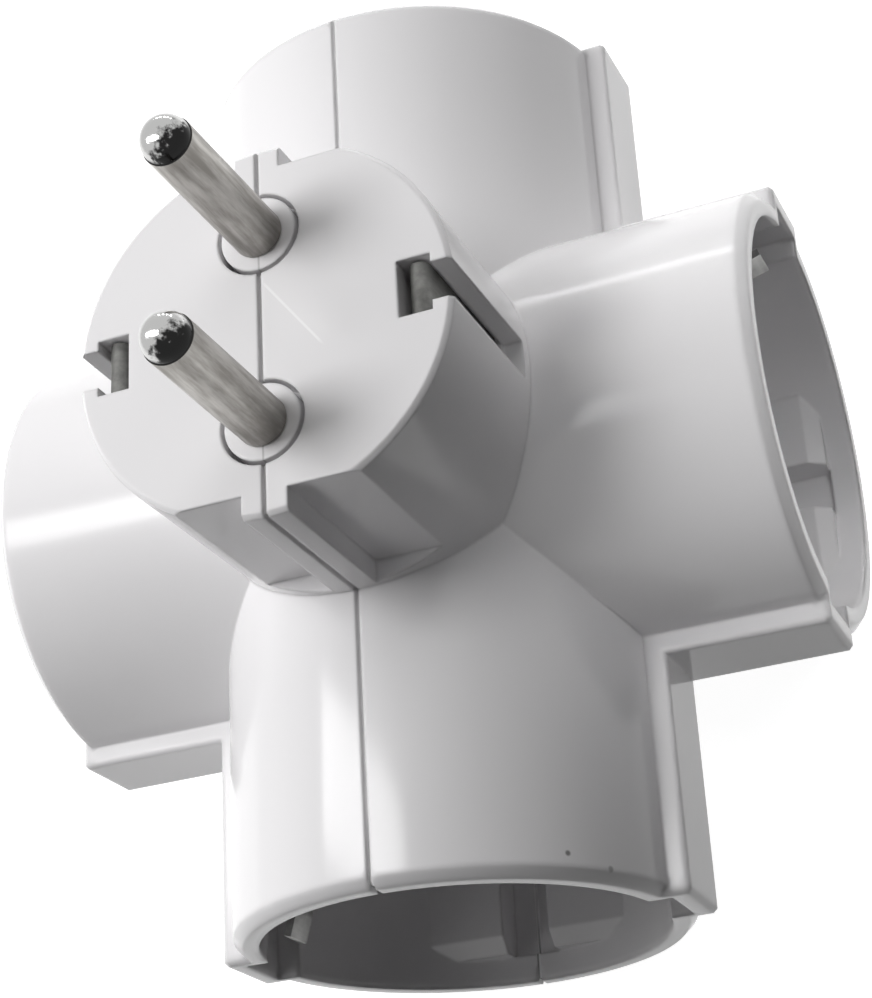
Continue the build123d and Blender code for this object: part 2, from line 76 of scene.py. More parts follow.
class Graph:
    """A node tree under construction, with short calls for the nodes that the finishes share."""

    def __init__(self, tree: bpy.types.NodeTree) -> None:
        """Wraps the tree.

        Args:
            tree: The tree that the nodes go into.
        """
        self.tree = tree

    def add(self, kind: str, **settings: object) -> bpy.types.Node:
        """Adds a node.

        Args:
            kind: The node's type name.
            settings: Attributes of the node.

        Returns:
            The new node.
        """
        node = self.tree.nodes.new(kind)
        for name, value in settings.items():
            setattr(node, name, value)
        return node

    def feed(self, value: object, socket: Socket) -> None:
        """Links a socket to another, or sets its value.

        Args:
            value: An output socket, or a constant.
            socket: The input that takes it.
        """
        if isinstance(value, Socket):
            self.tree.links.new(value, socket)
        else:
            socket.default_value = value

    def place(self) -> Socket:
        """Returns the point's place on the object."""
        return self.add("ShaderNodeTexCoord").outputs["Object"]

    def scaled(self, vector: object, scale: Point) -> Socket:
        """Stretches a vector.

        Args:
            vector: The vector's socket.
            scale: Its factors along the three axes.

        Returns:
            The stretched vector.
        """
        node = self.add("ShaderNodeMapping")
        self.feed(vector, node.inputs["Vector"])
        node.inputs["Scale"].default_value = scale
        return node.outputs["Vector"]

    def noise(self, vector: object, scale: float, detail: float = 3.0, rough: float = 0.55) -> Socket:
        """Adds a noise pattern.

        Args:
            vector: Where it is read.
            scale: Its frequency.
            detail: Its octaves.
            rough: The share of its finer octaves.

        Returns:
            A value from 0 to 1.
        """
        node = self.add("ShaderNodeTexNoise")
        self.feed(vector, node.inputs["Vector"])
        node.inputs["Scale"].default_value = scale
        node.inputs["Detail"].default_value = detail
        node.inputs["Roughness"].default_value = rough
        return node.outputs["Fac"]

    def ramp(self, value: object, low: float, high: float, to_low: float, to_high: float) -> Socket:
        """Maps a range of a value to another, smoothly and clamped.

        Args:
            value: The value.
            low: Where the change starts.
            high: Where it ends.
            to_low: The result up to low.
            to_high: The result from high on.

        Returns:
            The mapped value.
        """
        node = self.add("ShaderNodeMapRange", interpolation_type="SMOOTHSTEP")
        self.feed(value, node.inputs["Value"])
        limits = {"From Min": low, "From Max": high, "To Min": to_low, "To Max": to_high}
        for name, limit in limits.items():
            node.inputs[name].default_value = limit
        return node.outputs["Result"]

    def math(self, operation: str, first: object, second: object = 0.0) -> Socket:
        """Works out a sum, product or other operation on two values.

        Args:
            operation: The Math node's name for it.
            first: The first value.
            second: The second value.

        Returns:
            The result.
        """
        node = self.add("ShaderNodeMath", operation=operation)
        self.feed(first, node.inputs[0])
        self.feed(second, node.inputs[1])
        return node.outputs[0]

    def blend(self, share: object, first: object, second: object) -> Socket:
        """Mixes two colours.

        Args:
            share: The share of the second.
            first: A colour or a socket.
            second: A colour or a socket.

        Returns:
            The mixed colour.
        """
        node = self.add("ShaderNodeMix", data_type="RGBA")
        self.feed(share, node.inputs["Factor"])
        ends = [socket for socket in node.inputs if socket.type == "RGBA"]
        for socket, value in zip(ends, (first, second)):
            self.feed((*value, 1.0) if isinstance(value, tuple) else value, socket)
        return next(socket for socket in node.outputs if socket.type == "RGBA")

    def bump(self, height: object, distance: float, strength: float, normal: object = None) -> Socket:
        """Turns a height into a normal.

        Args:
            height: The height's socket.
            distance: Its depth in metres.
            strength: Its strength.
            normal: The normal that it changes.

        Returns:
            The new normal.
        """
        node = self.add("ShaderNodeBump")
        node.inputs["Distance"].default_value = distance
        node.inputs["Strength"].default_value = strength
        self.feed(height, node.inputs["Height"])
        if normal is not None:
            self.feed(normal, node.inputs["Normal"])
        return node.outputs["Normal"]

    def soft_edge(self, radius: object) -> Socket:
        """Adds a normal that rounds sharp edges.

        Args:
            radius: The edge's radius in metres, as a number or a socket.

        Returns:
            The rounded normal.
        """
        node = self.add("ShaderNodeBevel", samples=EDGE_SAMPLES)
        self.feed(radius, node.inputs["Radius"])
        return node.outputs["Normal"]

    def seen(self) -> Socket:
        """Tells rays that show a surface from those that only light another.

        Returns:
            1 for rays from the camera, from mirrors and through glass, and 0 for all others.
        """
        rays = self.add("ShaderNodeLightPath")
        seen = self.math("MAXIMUM", rays.outputs["Is Camera Ray"], rays.outputs["Is Glossy Ray"])
        return self.math("MAXIMUM", seen, rays.outputs["Is Transmission Ray"])

    def parts(self, vector: object) -> tuple[Socket, ...]:
        """Splits a vector.

        Args:
            vector: The vector's socket.

        Returns:
            Its three components.
        """
        node = self.add("ShaderNodeSeparateXYZ")
        self.feed(vector, node.inputs[0])
        return tuple(node.outputs)

    def spot(self, vector: object, centre: Point, radius: float, soft: float) -> Socket:
        """Marks a round spot.

        Args:
            vector: Where it is read.
            centre: The spot's middle in metres.
            radius: Its radius.
            soft: The width of its soft border.

        Returns:
            1 inside the spot, 0 outside.
        """
        node = self.add("ShaderNodeVectorMath", operation="DISTANCE")
        self.feed(vector, node.inputs[0])
        node.inputs[1].default_value = centre
        return self.ramp(node.outputs["Value"], radius - soft / 2, radius + soft / 2, 1.0, 0.0)

    def stroke(self, vector: object, start: Point, end: Point, width: float) -> Socket:
        """Marks a thin straight line that fades at both ends.

        Args:
            vector: Where it is read.
            start: Where the line starts, in metres.
            end: Where it ends.
            width: Its width.

        Returns:
            1 on the line, 0 off it.
        """
        along = Vector(end) - Vector(start)
        offset = self.add("ShaderNodeVectorMath", operation="SUBTRACT")
        self.feed(vector, offset.inputs[0])
        offset.inputs[1].default_value = start
        dot = self.add("ShaderNodeVectorMath", operation="DOT_PRODUCT")
        self.feed(offset.outputs["Vector"], dot.inputs[0])
        dot.inputs[1].default_value = along.normalized()
        cross = self.add("ShaderNodeVectorMath", operation="CROSS_PRODUCT")
        self.feed(offset.outputs["Vector"], cross.inputs[0])
        cross.inputs[1].default_value = along.normalized()
        length = self.add("ShaderNodeVectorMath", operation="LENGTH")
        self.feed(cross.outputs["Vector"], length.inputs[0])
        near = self.ramp(length.outputs["Value"], width * STROKE_CORE, width * STROKE_RIM, 1.0, 0.0)
        fade = along.length * STROKE_FADE
        begun = self.ramp(dot.outputs["Value"], 0.0, fade, 0.0, 1.0)
        ended = self.ramp(dot.outputs["Value"], along.length - fade, along.length, 1.0, 0.0)
        return self.math("MULTIPLY", near, self.math("MULTIPLY", begun, ended))


def new_material(name: str) -> tuple[bpy.types.Material, Graph, bpy.types.Node]:
    """Makes a material with a bare surface shader.

    Args:
        name: The material's name.

    Returns:
        The material, its graph, and its surface shader.
    """
    material = bpy.data.materials.new(name)
    material.use_nodes = True
    material.node_tree.nodes.clear()
    graph = Graph(material.node_tree)
    surface = graph.add("ShaderNodeBsdfPrincipled")
    output = graph.add("ShaderNodeOutputMaterial")
    graph.feed(surface.outputs["BSDF"], output.inputs["Surface"])
    return material, graph, surface


# Finishes


@dataclass(frozen=True)
class Speck:
    """A small dark mark on the plastic."""

    place: Point
    radius: float
    depth: float = 0.85


@dataclass(frozen=True)
class MouldedPlastic:
    """Glossy white moulding with a faint waviness, painted shade in its seam, painted light in its seam
    groove on the arms, a scratch and two specks.

    Rims, face and arms are spans in metres along one axis, over which a mark or an edge comes in.
    """

    name: str = "white_moulding"
    pale: Colour = (0.80, 0.79, 0.80)
    deep: Colour = (0.77, 0.76, 0.77)
    # Dark colour of the painted shade in the seam, and of the real specks.
    grime_and_seam_shade: Colour = (0.10, 0.095, 0.09)
    bright: Colour = (0.93, 0.93, 0.93)
    # Painted light: the colour of the seam groove on the arms, lightened against the groove's shade.
    inside: Colour = (0.98, 0.975, 0.98)
    detail: float = 1.0
    cloud_scale: float = 28.0
    roughness_scale: float = 60.0
    roughness: Span = (0.12, 0.17)
    refraction: float = 1.46
    wave_scale: float = 70.0
    wave_depth: float = 0.2 * MM
    wave_strength: float = 0.1
    edge: float = 0.45 * MM
    rim_edge: float = 1.1 * MM
    short_rim: Span = (37.5 * MM, 38.5 * MM)
    long_rim: Span = (44.5 * MM, 45.5 * MM)
    seam_width: float = 0.30 * MM
    # Painted shade in the seam gap: it darkens near the lower rim and the plug's face.
    seam_shade_span: Span = (0.15, 0.5)
    seam_painted_light: Span = (0.5, 0.9)
    lower_rim: Span = (-43.5 * MM, -38.5 * MM)
    rim_seam_shade: float = 0.5
    plug_face: Span = (60.0 * MM, 62.2 * MM)
    face_seam_shade: float = 0.34
    arm_start: Span = (18.0 * MM, 22.0 * MM)
    scratch: tuple[Point, Point] = ((0.0001, 0.0047, 0.0625), (0.0062, -0.0036, 0.0625))
    scratch_width: float = 0.28 * MM
    scratch_depth: float = 0.7
    specks: tuple[Speck, ...] = (
        Speck((0.01599, -0.04434, 0.03711), 0.24 * MM),
        Speck((0.01866, -0.04537, 0.03365), 0.27 * MM, 0.6),
    )

    def seam_shade_and_specks(self, graph: Graph, place: object) -> Socket:
        """Works out the painted shade in the seam at the lower rim and on the plug's face, and the dark
        specks.

        Args:
            graph: The material's graph.
            place: The point's place.

        Returns:
            The share of the dark colour: painted shade in the seam, and the specks.
        """
        x, y, z = graph.parts(place)
        off = graph.math("ABSOLUTE", x)
        # Painted shade in the seam gap, near the lower rim and the plug's face; the specks below are
        # real marks.
        inner, outer = (share * self.seam_width for share in self.seam_shade_span)
        seam = graph.ramp(off, inner, outer, 1.0, 0.0)
        rim = graph.ramp(y, *self.lower_rim, self.rim_seam_shade, 0.0)
        face = graph.ramp(z, *self.plug_face, 0.0, self.face_seam_shade)
        shade_and_specks = graph.math("MULTIPLY", seam, graph.math("MAXIMUM", rim, face))
        for speck in self.specks:
            spot = graph.spot(place, speck.place, speck.radius, speck.radius)
            shade_and_specks = graph.math("MAXIMUM", shade_and_specks, graph.math("MULTIPLY", spot, speck.depth))
        return shade_and_specks

    def colour(self, graph: Graph, place: object) -> Socket:
        """Works out the surface's colour, with the scratch, painted light in the seam groove of the
        arms, painted shade in the seam and the specks.

        Args:
            graph: The material's graph.
            place: The point's place.

        Returns:
            The colour.
        """
        cloud = graph.ramp(graph.noise(place, self.cloud_scale, self.detail), *NOISE_SPAN, 0.0, 1.0)
        body = graph.blend(cloud, self.pale, self.deep)
        stroke = graph.stroke(place, *self.scratch, self.scratch_width)
        scratched = graph.blend(graph.math("MULTIPLY", stroke, self.scratch_depth), body, self.bright)
        x, y, _ = graph.parts(place)
        off = graph.math("ABSOLUTE", x)
        # Painted light: the seam groove on the arms is lightened to cancel the shade in it.
        inner, outer = (share * self.seam_width for share in self.seam_painted_light)
        groove = graph.ramp(off, inner, outer, 1.0, 0.0)
        on_arm = graph.ramp(graph.math("ABSOLUTE", y), *self.arm_start, 0.0, 1.0)
        lit = graph.blend(graph.math("MULTIPLY", groove, on_arm), scratched, self.inside)
        # Painted shade in the seam, and the specks, darken the colour last.
        return graph.blend(self.seam_shade_and_specks(graph, place), lit, self.grime_and_seam_shade)

    def edges(self, graph: Graph, place: object) -> Socket:
        """Works out the radius of the softened edges, which grows at the rims of the arms.

        Args:
            graph: The material's graph.
            place: The point's place.

        Returns:
            The radius in metres.
        """
        x, y, _ = graph.parts(place)
        short = graph.ramp(graph.math("ABSOLUTE", x), *self.short_rim, 0.0, 1.0)
        long = graph.ramp(graph.math("ABSOLUTE", y), *self.long_rim, 0.0, 1.0)
        return graph.ramp(graph.math("MAXIMUM", short, long), 0.0, 1.0, self.edge, self.rim_edge)

    def material(self) -> bpy.types.Material:
        """Makes the finish's material.

        Returns:
            The material.
        """
        material, graph, surface = new_material(self.name)
        place = graph.place()
        graph.feed(self.colour(graph, place), surface.inputs["Base Color"])
        patches = graph.noise(place, self.roughness_scale, self.detail)
        graph.feed(graph.ramp(patches, *NOISE_SPAN, *self.roughness), surface.inputs["Roughness"])
        surface.inputs["IOR"].default_value = self.refraction
        wave = graph.noise(place, self.wave_scale, self.detail)
        soft = graph.soft_edge(self.edges(graph, place))
        wavy = graph.bump(wave, self.wave_depth, self.wave_strength, soft)
        graph.feed(wavy, surface.inputs["Normal"])
        return material


@dataclass(frozen=True)
class WornNickel:
    """Nickel plate of the pins: a satin, rubbed shaft, a polished tip with painted dark reflection on
    one side and painted shade round its foot, and a darker root.
    """

    name: str = "worn_nickel"
    bright: Colour = (0.56, 0.545, 0.52)
    worn: Colour = (0.27, 0.257, 0.238)
    dark: Colour = (0.17, 0.16, 0.148)
    polished: Colour = (0.50, 0.50, 0.495)
    # Painted dark reflection on the tip's side away from the light, and painted shade round its foot.
    painted_dark_reflection: Colour = (0.02, 0.02, 0.02)
    neck: float = 79.1 * MM
    neck_blend: float = 0.04 * MM
    root: float = 62.5 * MM
    root_height: float = 5.5 * MM
    root_tone: Span = (0.25, 0.8)
    tip_radius: float = 2.3 * MM
    pin_side: float = 9.5 * MM
    shade: tuple[float, float] = (0.62, -0.66)
    # Span of the painted dark reflection, and height of the painted shade ring round the tip's foot.
    painted_dark_side: Span = (0.22, 0.55)
    foot_painted_shade: Span = (0.1 * MM, 0.75 * MM)
    mottle_scale: float = 1500.0
    mottle_depth: float = 1.3
    streak_scale: Point = (1100.0, 1100.0, 110.0)
    streak_detail: float = 4.0
    streak_rough: float = 0.62
    blotch_scale: Point = (420.0, 420.0, 170.0)
    blotch_share: float = 0.6
    rubbed: Span = (0.5, 1.05)
    crease: tuple[Point, Point] = ((-0.0012, 0.0074, 0.0625), (-0.0019, 0.0080, 0.0705))
    crease_width: float = 0.3 * MM
    crease_depth: float = 0.8
    satin_streaks: Span = (0.3, 0.75)
    satin: Span = (0.34, 0.52)
    tip_polish: float = 0.26
    grain_depth: float = 0.03 * MM
    grain_strength: float = 0.4
    tip_grain: float = 0.15

    def tip_painted_reflection(self, graph: Graph, place: object) -> Socket:
        """Works out the painted dark reflection on the tip: on the side away from the light, and as
        painted shade round its foot, with a fine mottle.

        Args:
            graph: The material's graph.
            place: The point's place.

        Returns:
            The share of painted dark reflection and shade, 0 where the tip keeps its polished colour.
        """
        x, y, z = graph.parts(place)
        # Painted dark reflection: the tip darkens towards the side away from the light.
        side = graph.math("SUBTRACT", graph.math("ABSOLUTE", y), self.pin_side)
        down = graph.math("MULTIPLY", side, graph.math("SIGN", y))
        reach = graph.math("MULTIPLY", x, self.shade[0] / self.tip_radius)
        reach = graph.math("ADD", reach, graph.math("MULTIPLY", down, self.shade[1] / self.tip_radius))
        grain = graph.math("SUBTRACT", graph.noise(place, self.mottle_scale), 0.5)
        mottle = graph.math("MULTIPLY", grain, self.mottle_depth)
        painted_dark_side = graph.ramp(graph.math("ADD", reach, mottle), *self.painted_dark_side, 0.0, 1.0)
        # Painted shade: a dark ring round the foot of the dome.
        low, high = (self.neck + height for height in self.foot_painted_shade)
        return graph.math("MAXIMUM", painted_dark_side, graph.ramp(z, low, high, 1.0, 0.0))

    def shaft_tone(self, graph: Graph, place: object, streaks: object) -> Socket:
        """Works out the shaft's colour: rubbed in streaks, darker at its root, with one crease.

        Args:
            graph: The material's graph.
            place: The point's place.
            streaks: The streaks of the rubbed plate.

        Returns:
            The colour.
        """
        blotches = graph.noise(graph.scaled(place, self.blotch_scale), 1.0)
        wear = graph.math("ADD", streaks, graph.math("MULTIPLY", blotches, self.blotch_share))
        shaft = graph.blend(graph.ramp(wear, *self.rubbed, 0.0, 1.0), self.bright, self.worn)
        height = graph.parts(place)[2]
        # The shaft gets darker towards its root, in blotches.
        base = graph.ramp(height, self.root, self.root + self.root_height, 1.0, 0.0)
        root_darkening = graph.math("MULTIPLY", base, graph.ramp(blotches, *NOISE_SPAN, *self.root_tone))
        rooted = graph.blend(root_darkening, shaft, self.dark)
        crease = graph.stroke(place, *self.crease, self.crease_width)
        return graph.blend(graph.math("MULTIPLY", crease, self.crease_depth), rooted, self.dark)

    def material(self) -> bpy.types.Material:
        """Makes the finish's material.

        Returns:
            The material.
        """
        material, graph, surface = new_material(self.name)
        place = graph.place()
        height = graph.parts(place)[2]
        tip = graph.ramp(height, self.neck - self.neck_blend, self.neck + self.neck_blend, 0.0, 1.0)
        lengthwise = graph.scaled(place, self.streak_scale)
        streaks = graph.noise(lengthwise, 1.0, self.streak_detail, self.streak_rough)
        shaft = self.shaft_tone(graph, place, streaks)
        # The tip's polished colour, with painted dark reflection and shade.
        cap = graph.blend(self.tip_painted_reflection(graph, place), self.polished, self.painted_dark_reflection)
        graph.feed(graph.blend(tip, shaft, cap), surface.inputs["Base Color"])
        surface.inputs["Metallic"].default_value = 1.0
        satin = graph.ramp(streaks, *self.satin_streaks, *self.satin)
        polish = graph.ramp(tip, 0.0, 1.0, 1.0, self.tip_polish)
        graph.feed(graph.math("MULTIPLY", satin, polish), surface.inputs["Roughness"])
        grain = graph.math("MULTIPLY", streaks, graph.ramp(tip, 0.0, 1.0, 1.0, self.tip_grain))
        graph.feed(graph.bump(grain, self.grain_depth, self.grain_strength), surface.inputs["Normal"])
        return material


@dataclass(frozen=True)
class SheetMetal:
    """Rolled strip: a fine grain along it, a cloudy tint, and rubbed spots."""

    name: str
    bright: Colour
    dull: Colour
    roughness: float
    grain: Point = (900.0, 900.0, 120.0)
    grain_detail: float = 4.0
    grain_rough: float = 0.6
    grain_share: float = 0.45
    cloud_scale: float = 260.0
    tint: Span = (0.45, 1.0)
    rubbed: Span = (0.25, 0.8)
    roughness_change: float = 0.16
    grain_depth: float = 0.01 * MM
    grain_strength: float = 0.35
    edge: float = 0.08 * MM

    def material(self) -> bpy.types.Material:
        """Makes the finish's material.

        Returns:
            The material.
        """
        material, graph, surface = new_material(self.name)
        place = graph.place()
        grain = graph.noise(graph.scaled(place, self.grain), 1.0, self.grain_detail, self.grain_rough)
        cloud = graph.noise(place, self.cloud_scale)
        both = graph.math("ADD", graph.math("MULTIPLY", grain, self.grain_share), cloud)
        tint = graph.blend(graph.ramp(both, *self.tint, 0.0, 1.0), self.bright, self.dull)
        graph.feed(tint, surface.inputs["Base Color"])
        surface.inputs["Metallic"].default_value = 1.0
        dullest = self.roughness + self.roughness_change
        satin = graph.ramp(grain, *self.rubbed, self.roughness, dullest)
        graph.feed(satin, surface.inputs["Roughness"])
        soft = graph.soft_edge(self.edge)
        brushed = graph.bump(grain, self.grain_depth, self.grain_strength, soft)
        graph.feed(brushed, surface.inputs["Normal"])
        return material


SPRING_NICKEL = SheetMetal("spring_nickel", (0.50, 0.50, 0.49), (0.26, 0.26, 0.255), roughness=0.4)
ROLLED_NICKEL = SheetMetal("rolled_nickel", (0.26, 0.26, 0.25), (0.12, 0.12, 0.115), roughness=0.5)
STAMPED_BRASS = SheetMetal(
    "stamped_brass",
    (0.78, 0.60, 0.29),
    (0.58, 0.42, 0.19),
    roughness=0.28,
    grain=(260.0, 900.0, 900.0),
)
ZINC_STEEL = SheetMetal(
    "zinc_steel",
    (0.68, 0.69, 0.70),
    (0.47, 0.48, 0.49),
    roughness=0.25,
    grain=(900.0, 320.0, 320.0),
)


# Shapes

# Points nearer than this become one, which closes the lathe's seam and its poles.
MERGE_DISTANCE = 0.002 * MM


class Shape(Graph):
    """A Geometry Nodes group under construction, with named inputs and one mesh that comes out."""

    def __init__(self, name: str, inputs: dict[str, str]) -> None:
        """Makes the group.

        Args:
            name: The group's name.
            inputs: Each input's name and socket type.
        """
        super().__init__(bpy.data.node_groups.new(name, "GeometryNodeTree"))
        self.tree.interface.new_socket("Profile", in_out="INPUT", socket_type="NodeSocketGeometry")
        for label, kind in inputs.items():
            self.tree.interface.new_socket(label, in_out="INPUT", socket_type=kind)
        self.tree.interface.new_socket("Mesh", in_out="OUTPUT", socket_type="NodeSocketGeometry")
        self.inputs = self.add("NodeGroupInput").outputs

    def finish(self, mesh: Socket, material: Socket) -> bpy.types.NodeTree:
        """Ends the group with Realize Instances and Set Material.

        Args:
            mesh: The geometry that comes out.
            material: The material's socket.

        Returns:
            The finished tree.
        """
        real = self.add("GeometryNodeRealizeInstances")
        paint = self.add("GeometryNodeSetMaterial")
        self.feed(mesh, real.inputs[0])
        self.feed(real.outputs[0], paint.inputs["Geometry"])
        self.feed(material, paint.inputs["Material"])
        self.feed(paint.outputs[0], self.add("NodeGroupOutput").inputs["Mesh"])
        return self.tree


def turned_shape() -> bpy.types.NodeTree:
    """Makes the group that turns a profile round the axis at Centre.

    The profile is a row of points (radius, 0, height). Edges bent by less than Crease are smooth.

    Returns:
        The group's tree.
    """
    kinds = {"Segments": "NodeSocketInt", "Centre": "NodeSocketVector", "Crease": "NodeSocketFloat"}
    shape = Shape("turned_shape", {**kinds, "Finish": "NodeSocketMaterial"})
    given = shape.inputs
    count = shape.add("GeometryNodeAttributeDomainSize", component="MESH")
    shape.feed(given["Profile"], count.inputs["Geometry"])
    rows = count.outputs["Point Count"]
    grid = shape.add("GeometryNodeMeshGrid")
    shape.feed(shape.math("ADD", given["Segments"], 1.0), grid.inputs["Vertices X"])
    shape.feed(rows, grid.inputs["Vertices Y"])
    index = shape.add("GeometryNodeInputIndex").outputs[0]
    row = shape.math("MODULO", index, rows)
    column = shape.math("FLOOR", shape.math("DIVIDE", index, rows))
    turn = shape.math("MULTIPLY", shape.math("DIVIDE", column, given["Segments"]), math.tau)
    sample = shape.add("GeometryNodeSampleIndex", data_type="FLOAT_VECTOR")
    shape.feed(given["Profile"], sample.inputs["Geometry"])
    shape.feed(shape.add("GeometryNodeInputPosition").outputs[0], sample.inputs["Value"])
    shape.feed(row, sample.inputs["Index"])
    radius, _, height = shape.parts(sample.outputs["Value"])
    ring = shape.add("ShaderNodeCombineXYZ")
    shape.feed(shape.math("MULTIPLY", radius, shape.math("COSINE", turn)), ring.inputs["X"])
    shape.feed(shape.math("MULTIPLY", radius, shape.math("SINE", turn)), ring.inputs["Y"])
    shape.feed(height, ring.inputs["Z"])
    move = shape.add("GeometryNodeSetPosition")
    shape.feed(grid.outputs["Mesh"], move.inputs["Geometry"])
    shape.feed(ring.outputs[0], move.inputs["Position"])
    shape.feed(given["Centre"], move.inputs["Offset"])
    merge = shape.add("GeometryNodeMergeByDistance")
    merge.inputs["Distance"].default_value = MERGE_DISTANCE
    shape.feed(move.outputs[0], merge.inputs["Geometry"])
    smooth = shape.add("GeometryNodeSetShadeSmooth", domain="EDGE")
    angle = shape.add("GeometryNodeInputMeshEdgeAngle").outputs["Unsigned Angle"]
    shape.feed(merge.outputs[0], smooth.inputs["Geometry"])
    shape.feed(shape.math("LESS_THAN", angle, given["Crease"]), smooth.inputs["Shade Smooth"])
    return shape.finish(smooth.outputs[0], given["Finish"])


def plain_mesh(
    name: str,
    points: Sequence[Point],
    tree: bpy.types.NodeTree,
    values: dict[str, object],
) -> bpy.types.Object:
    """Runs a group on a row of points and keeps the result as a plain mesh.

    Args:
        name: The piece's name.
        points: The points that go in, in order.
        tree: The group.
        values: The value of each named input, with the material as Finish.

    Returns:
        The piece, with its place in its mesh.
    """
    start = bpy.data.meshes.new(name + "_profile")
    start.from_pydata(points, [(i, i + 1) for i in range(len(points) - 1)], [])
    piece = bpy.data.objects.new(name, start)
    bpy.context.scene.collection.objects.link(piece)
    modifier = piece.modifiers.new("shape", "NODES")
    modifier.node_group = tree
    for item in tree.interface.items_tree:
        if item.in_out == "INPUT" and item.name in values:
            modifier[item.identifier] = values[item.name]
    seen = piece.evaluated_get(bpy.context.evaluated_depsgraph_get())
    mesh = bpy.data.meshes.new_from_object(seen)
    piece.modifiers.remove(modifier)
    piece.data = mesh
    mesh.materials.clear()
    mesh.materials.append(values["Finish"])
    mesh.polygons.foreach_set("material_index", [0] * len(mesh.polygons))
    shell = bmesh.new()
    shell.from_mesh(mesh)
    bmesh.ops.recalc_face_normals(shell, faces=shell.faces)
    shell.to_mesh(mesh)
    shell.free()
    log.info("piece %s has %d faces", name, len(mesh.polygons))
    return piece


def stand_in(piece: bpy.types.Object, node: str) -> None:
    """Lets a piece take a node's place in the visual model.

    Args:
        piece: The new piece.
        node: The node that it replaces.
    """
    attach(piece, "root")
    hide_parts(node)
    log.info("piece %s replaces %s", piece.name, node)


# Sub-assemblies


def dress(node: str, material: bpy.types.Material) -> None:
    """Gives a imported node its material.

    Args:
        node: The node's name.
        material: Its new material.
    """
    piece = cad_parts[node]
    piece.data.materials.clear()
    piece.data.materials.append(material)
    log.info("node %s takes %s", node, material.name)


@dataclass
class Housing:
    """The white mouldings: both halves, the two socket faces and the pin bridge."""

    nodes: tuple[str, ...] = (
        "left_housing",
        "right_housing",
        "upper_socket_face",
        "lower_socket_face",
        "pin_bridge",
    )
    finish: MouldedPlastic = field(default_factory=MouldedPlastic)

    def build(self) -> None:
        """Dresses the mouldings."""
        material = self.finish.material()
        for node in self.nodes:
            dress(node, material)


@dataclass
class PlugPin:
    """One turned pin: a peened shank, a flange, the plated shaft and a tip set in by a small step."""

    node: str
    finish: bpy.types.Material
    slot: str = "pin_metal"
    clearance: float = 0.001 * MM
    root: float = 62.5 * MM
    radius: float = 2.4 * MM
    tip_radius: float = 2.3 * MM
    root_radius: float = 2.2 * MM
    shank_radius: float = 1.8 * MM
    peened_radius: float = 2.6 * MM
    peened_height: float = 0.5 * MM
    flange_radius: float = 3.4 * MM
    flange_top: float = 55.0 * MM
    flange_height: float = 1.0 * MM
    foot_bevel: float = 0.12 * MM
    tip_steps: int = 20
    segments: int = 96
    crease: float = math.radians(28)

    def profile(self) -> list[Point]:
        """Works out the pin's half section, from the middle of its tip to the middle of its peened end.

        Returns:
            The section's points, as (radius, 0, height).
        """
        low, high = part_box(self.node)
        seat = low[2] + self.peened_height
        neck = high[2] - self.clearance - self.tip_radius
        tip = self.tip_radius
        rises = (math.pi / 2 * (1 - i / self.tip_steps) for i in range(self.tip_steps + 1))
        dome = [(tip * math.cos(rise), neck + tip * math.sin(rise)) for rise in rises]
        step = self.radius - self.tip_radius
        body = [
            (self.radius, neck - step),
            (self.radius, self.root + self.foot_bevel),
            (self.radius - self.foot_bevel, self.root),
            (self.root_radius, self.root),
            (self.root_radius, self.flange_top),
            (self.flange_radius, self.flange_top),
            (self.flange_radius, self.flange_top - self.flange_height),
            (self.shank_radius, self.flange_top - self.flange_height),
            (self.shank_radius, seat),
            (self.peened_radius, seat),
            (self.peened_radius, low[2]),
            (0.0, low[2]),
        ]
        return [(radius, 0.0, height) for radius, height in dome + body]

    def build(self, tree: bpy.types.NodeTree) -> None:
        """Turns the pin and puts it in its node's place.

        Args:
            tree: The group that turns a profile.
        """
        low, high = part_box(self.node)
        values = {
            "Segments": self.segments,
            "Centre": (0.0, (low[1] + high[1]) / 2, 0.0),
            "Crease": self.crease,
            "Finish": self.finish,
        }
        piece = plain_mesh(self.node + "_turned", self.profile(), tree, values)
        stand_in(piece, self.node)


@dataclass
class Metalwork:
    """Pins, contacts, bars, earth parts and the screw."""

    brass: tuple[str, ...] = ("live_busbar", "neutral_busbar", "neutral_link", "contact_rivets")
    sides: tuple[str, ...] = ("upper", "lower", "left", "right")
    pins: tuple[str, ...] = ("upper_plug_pin", "lower_plug_pin")

    def build(self) -> None:
        """Makes the pins and dresses the other metal parts."""
        tree = turned_shape()
        nickel = WornNickel().material()
        for node in self.pins:
            PlugPin(node, nickel).build(tree)
        brass = STAMPED_BRASS.material()
        contacts = tuple(f"{side}_{pole}_contact" for side in self.sides for pole in ("live", "neutral"))
        for node in self.brass + contacts:
            dress(node, brass)
        spring = SPRING_NICKEL.material()
        clips = tuple(f"{side}_earth_clip" for side in self.sides)
        for node in clips + ("upper_earth_link", "lower_earth_link"):
            dress(node, spring)
        rolled = ROLLED_NICKEL.material()
        for node in ("left_earth_strip", "right_earth_strip"):
            dress(node, rolled)
        dress("housing_screw", ZINC_STEEL.material())


# Stage, light and camera


